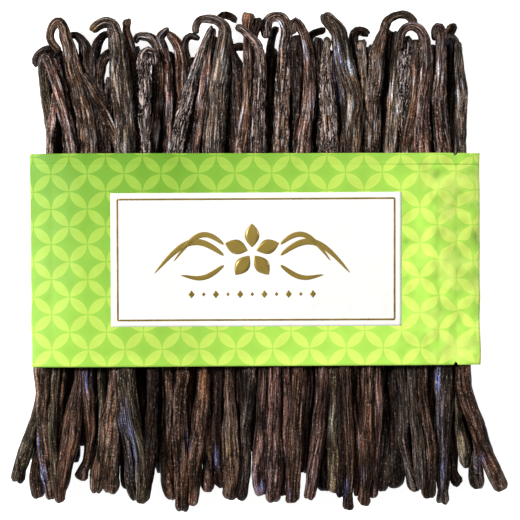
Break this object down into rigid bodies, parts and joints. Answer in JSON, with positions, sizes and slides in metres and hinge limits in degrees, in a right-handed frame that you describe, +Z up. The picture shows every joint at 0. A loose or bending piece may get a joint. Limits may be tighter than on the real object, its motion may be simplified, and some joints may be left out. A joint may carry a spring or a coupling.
{
  "type": "bundle of vanilla pods",
  "caption": "Flat bundle of cured vanilla pods lying side by side in layers, crooked stem ends at one end, with a slim printed film sachet laid across the middle.",
  "frame": {"origin": "on the surface the bundle lies on, under the middle of its outline", "axes": "+Z up, away from the surface it lies on; +Y along the pods towards the crooked stem ends; +X across the bundle to the right of the sachet's front"},
  "size_m": [0.1722, 0.1738, 0.0152],
  "materials": {
    "pod_skin": "oily, wrinkled lengthwise, dark brown to black",
    "sachet_film": "satin printed film, overlapping circles in two lime greens",
    "label_stock": "smooth satin white",
    "gold_foil": "hot-stamped foil, satin"
  },
  "bodies": {
    "root": {"pods": "pod_skin", "sachet": "sachet_film", "label": "label_stock"}
  },
  "joints": []
}
